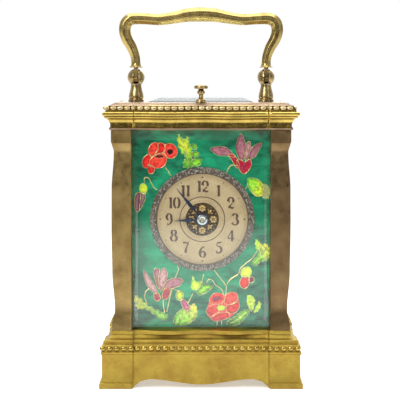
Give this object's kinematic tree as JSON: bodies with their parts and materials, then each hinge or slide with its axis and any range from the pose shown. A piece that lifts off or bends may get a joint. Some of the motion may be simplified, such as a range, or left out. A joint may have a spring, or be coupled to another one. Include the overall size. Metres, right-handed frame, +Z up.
{
  "type": "mantel clock",
  "caption": "Mantel clock in a serpentine brass case with bevelled glass, folding handle, repeat button, flowered enamel panel, round dial, rear door and a full spring-driven striking movement.",
  "frame": {"origin": "on the table, under the middle of the base", "axes": "+Z up, -Y out of the dial towards the viewer, +X to the viewer's right"},
  "size_m": [0.0974, 0.084, 0.1831],
  "materials": {
    "case_brass": "lacquered brass, aged and darkened in the recesses",
    "pillar_brass": "aged brass with brown patina",
    "handle_brass": "worn, polished by the hand",
    "dial_gilt": "frosted gilt",
    "dial_ring": "stippled, grey-brown",
    "enamel": "glossy translucent enamel over engraved metal",
    "glass": "polished, bevelled",
    "movement_brass": "polished",
    "platform_silver": "silvered",
    "steel": "polished",
    "blued_steel": "blued"
  },
  "bodies": {
    "case": {"base_plinth": "case_brass", "bottom_plate": "pillar_brass", "pillar_front_left": "pillar_brass", "pillar_front_right": "pillar_brass", "pillar_rear_left": "pillar_brass", "pillar_rear_right": "pillar_brass", "cornice": "case_brass", "case_bolts": "steel", "top_glass": "glass", "front_glass": "glass", "side_glass_left": "glass", "side_glass_right": "glass", "enamel_panel": "enamel", "dial_ring": "dial_ring", "dial_plate": "dial_gilt", "dial_centre": "dial_gilt", "handle_post_left": "case_brass", "handle_post_right": "case_brass", "handle_pins": "steel", "button_bush": "case_brass", "door_pins": "steel", "front_plate": "movement_brass", "back_plate": "movement_brass", "platform": "platform_silver", "balance_cock": "platform_silver", "hairspring": "blued_steel", "gong_coil": "blued_steel", "gong_block": "movement_brass"},
    "handle": {"handle": "handle_brass"},
    "repeat_button": {"repeat_button": "case_brass"},
    "repeat_lever": {"repeat_lever": "steel"},
    "rear_door": {"door_frame": "case_brass", "door_glass": "glass", "door_knob": "case_brass"},
    "centre_arbor": {"centre_wheel": "movement_brass", "cannon_pinion": "steel", "minute_hand": "blued_steel", "hand_collet": "steel"},
    "hour_wheel": {"hour_wheel": "movement_brass", "hour_hand": "blued_steel"},
    "minute_wheel": {"minute_wheel": "movement_brass"},
    "third_wheel": {"third_wheel": "movement_brass"},
    "contrate_wheel": {"contrate_wheel": "movement_brass"},
    "escape_wheel": {"escape_wheel": "steel"},
    "intermediate_wheel": {"intermediate_wheel": "movement_brass"},
    "going_barrel": {"going_barrel": "movement_brass"},
    "going_arbor": {"going_arbor": "steel", "going_mainspring": "blued_steel"},
    "going_click": {"going_click": "steel"},
    "strike_barrel": {"strike_barrel": "movement_brass"},
    "strike_arbor": {"strike_arbor": "steel", "strike_mainspring": "blued_steel"},
    "strike_click": {"strike_click": "steel"},
    "strike_second_wheel": {"strike_second_wheel": "movement_brass"},
    "pin_wheel": {"pin_wheel": "movement_brass"},
    "fly": {"fly": "movement_brass"},
    "pallet_lever": {"pallet_lever": "steel"},
    "balance": {"balance_wheel": "platform_silver"},
    "hammer": {"hammer": "steel"},
    "rack": {"rack": "steel"}
  },
  "joints": [
    {"name": "handle_swing", "type": "hinge", "parent": "case", "child": "handle", "pos_m": [0, 0, 0.1484], "axis": [1, 0, 0], "range_deg": [-100, 85]},
    {"name": "repeat_press", "type": "slide", "parent": "case", "child": "repeat_button", "axis": [0, 0, -1], "range_m": [0, 0.002], "stiffness_N_per_m": 400, "springref_m": -0.001},
    {"name": "repeat_lever_turn", "type": "hinge", "parent": "case", "child": "repeat_lever", "pos_m": [0, -0.018, 0.12], "axis": [1, 0, 0], "range_deg": [0, 10]},
    {"name": "door_swing", "type": "hinge", "parent": "case", "child": "rear_door", "pos_m": [0.0312, 0.033, 0.0747], "axis": [0, 0, -1], "range_deg": [0, 90]},
    {"name": "centre_turn", "type": "hinge", "parent": "case", "child": "centre_arbor", "pos_m": [0.0006, 0, 0.08], "axis": [0, 1, 0], "continuous": true},
    {"name": "hour_turn", "type": "hinge", "parent": "case", "child": "hour_wheel", "pos_m": [0.0006, 0, 0.08], "axis": [0, 1, 0], "continuous": true},
    {"name": "minute_wheel_turn", "type": "hinge", "parent": "case", "child": "minute_wheel", "pos_m": [0.00821, 0, 0.07645], "axis": [0, 1, 0], "continuous": true},
    {"name": "third_turn", "type": "hinge", "parent": "case", "child": "third_wheel", "pos_m": [0.01064, 0, 0.08701], "axis": [0, 1, 0], "continuous": true},
    {"name": "contrate_turn", "type": "hinge", "parent": "case", "child": "contrate_wheel", "pos_m": [0.0086, 0, 0.097], "axis": [0, 1, 0], "continuous": true},
    {"name": "escape_turn", "type": "hinge", "parent": "case", "child": "escape_wheel", "pos_m": [0.0086, 0.00184, 0.111], "axis": [0, 0, 1], "continuous": true},
    {"name": "intermediate_turn", "type": "hinge", "parent": "case", "child": "intermediate_wheel", "pos_m": [0.01023, 0, 0.07003], "axis": [0, 1, 0], "continuous": true},
    {"name": "going_barrel_turn", "type": "hinge", "parent": "case", "child": "going_barrel", "pos_m": [0.0156, 0, 0.055], "axis": [0, 1, 0], "continuous": true},
    {"name": "strike_barrel_turn", "type": "hinge", "parent": "case", "child": "strike_barrel", "pos_m": [-0.0144, 0, 0.055], "axis": [0, 1, 0], "continuous": true},
    {"name": "strike_second_turn", "type": "hinge", "parent": "case", "child": "strike_second_wheel", "pos_m": [-0.01634, 0, 0.07084], "axis": [0, 1, 0], "continuous": true},
    {"name": "pin_wheel_turn", "type": "hinge", "parent": "case", "child": "pin_wheel", "pos_m": [-0.01676, 0, 0.08273], "axis": [0, 1, 0], "continuous": true},
    {"name": "fly_turn", "type": "hinge", "parent": "case", "child": "fly", "pos_m": [-0.01394, 0, 0.09324], "axis": [0, 1, 0], "continuous": true},
    {"name": "going_winding", "type": "hinge", "parent": "case", "child": "going_arbor", "pos_m": [0.0156, 0, 0.055], "axis": [0, -1, 0], "range_deg": [0, 1260]},
    {"name": "strike_winding", "type": "hinge", "parent": "case", "child": "strike_arbor", "pos_m": [-0.0144, 0, 0.055], "axis": [0, -1, 0], "range_deg": [0, 1260]},
    {"name": "going_click_lift", "type": "hinge", "parent": "case", "child": "going_click", "pos_m": [0.01109, -0.0202, 0.06348], "axis": [0, 1, 0], "range_deg": [0, 15], "stiffness_Nm_per_rad": 0.002, "springref_deg": -5.73},
    {"name": "strike_click_lift", "type": "hinge", "parent": "case", "child": "strike_click", "pos_m": [-0.01891, -0.0202, 0.06348], "axis": [0, 1, 0], "range_deg": [0, 15], "stiffness_Nm_per_rad": 0.002, "springref_deg": -5.73},
    {"name": "pallet_turn", "type": "hinge", "parent": "case", "child": "pallet_lever", "pos_m": [0.0034, 0.00184, 0.111], "axis": [0, 0, 1], "range_deg": [-3, 3]},
    {"name": "balance_turn", "type": "hinge", "parent": "case", "child": "balance", "pos_m": [-0.0044, 0.00184, 0.114], "axis": [0, 0, 1], "range_deg": [-220, 220], "stiffness_Nm_per_rad": 0.0000044},
    {"name": "hammer_lift", "type": "hinge", "parent": "case", "child": "hammer", "pos_m": [-0.02, 0, 0.1], "axis": [0, -1, 0], "range_deg": [0, 10], "stiffness_Nm_per_rad": 0.01, "springref_deg": -5.73},
    {"name": "rack_fall", "type": "hinge", "parent": "case", "child": "rack", "pos_m": [-0.0189, -0.024, 0.0791], "axis": [0, -1, 0], "range_deg": [0, 8]}
  ],
  "couplings": [
    {"joint": "repeat_lever_turn", "follows": "repeat_press", "rad_per_m": 83.333},
    {"joint": "hour_turn", "follows": "centre_turn", "ratio": 0.083333},
    {"joint": "minute_wheel_turn", "follows": "centre_turn", "ratio": -0.33333},
    {"joint": "third_turn", "follows": "centre_turn", "ratio": -8},
    {"joint": "contrate_turn", "follows": "centre_turn", "ratio": 60},
    {"joint": "escape_turn", "follows": "centre_turn", "ratio": 600},
    {"joint": "intermediate_turn", "follows": "centre_turn", "ratio": -0.16667},
    {"joint": "going_barrel_turn", "follows": "centre_turn", "ratio": 0.027778},
    {"joint": "strike_second_turn", "follows": "strike_barrel_turn", "ratio": -6},
    {"joint": "pin_wheel_turn", "follows": "strike_barrel_turn", "ratio": 36},
    {"joint": "fly_turn", "follows": "strike_barrel_turn", "ratio": -270}
  ]
}
